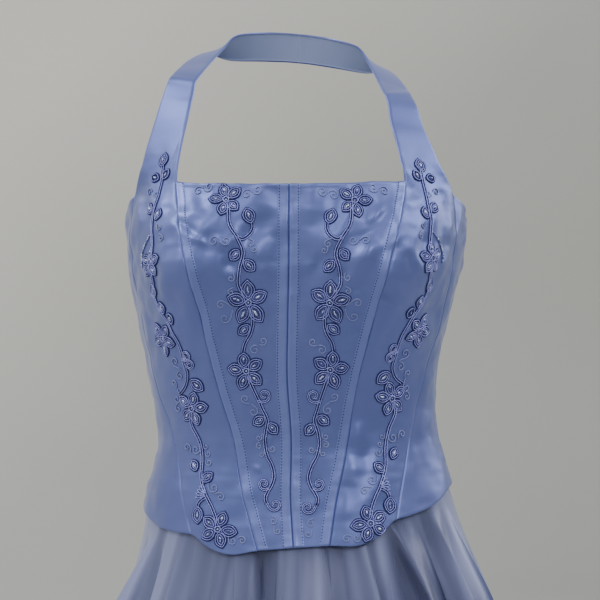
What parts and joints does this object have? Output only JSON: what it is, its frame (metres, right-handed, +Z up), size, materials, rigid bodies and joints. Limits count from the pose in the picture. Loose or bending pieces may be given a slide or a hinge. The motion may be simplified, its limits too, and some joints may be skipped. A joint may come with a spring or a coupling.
{
  "type": "prom dress with halter corset bodice and organza skirt",
  "caption": "Halter-neck prom dress: a panelled satin corset bodice over a floor-length sheer organza skirt with its lining, hollow as worn.",
  "frame": {"origin": "middle of the halter's nape seam, on its inner face, where the wearer's neck holds the dress up", "axes": "+Z up along the wearer, -Y the dress's front, +X the wearer's left"},
  "size_m": [0.8482, 0.7718, 1.4646],
  "materials": {
    "satin": "periwinkle-blue bridal satin, soft lustrous sheen, cord embroidery with beads",
    "organza": "sheer lavender-grey crystal organza",
    "lining": "pale blue-lilac lining satin, soft",
    "zip_tape": "woven blue tape",
    "zip_metal": "blue lacquered metal"
  },
  "bodies": {
    "dress": {"front_panel_left": "satin", "front_panel_right": "satin", "centre_channel_left": "satin", "centre_channel_right": "satin", "princess_channel_left": "satin", "princess_channel_right": "satin", "side_front_halter_left": "satin", "side_front_halter_right": "satin", "side_panel_left": "satin", "side_panel_right": "satin", "back_panel_left": "satin", "back_panel_right": "satin", "overskirt_front": "organza", "overskirt_back_left": "organza", "overskirt_back_right": "organza", "skirt_lining_front": "lining", "skirt_lining_back_left": "lining", "skirt_lining_back_right": "lining", "zip_tape": "zip_tape", "zip_slider": "zip_metal"},
    "pull_tab": {"zip_pull": "zip_metal"}
  },
  "joints": [
    {"name": "zip_pull_hinge", "type": "hinge", "parent": "dress", "child": "pull_tab", "pos_m": [0.00104, 0.03236, -0.18642], "axis": [1, 0, 0], "range_deg": [0, 150]}
  ]
}
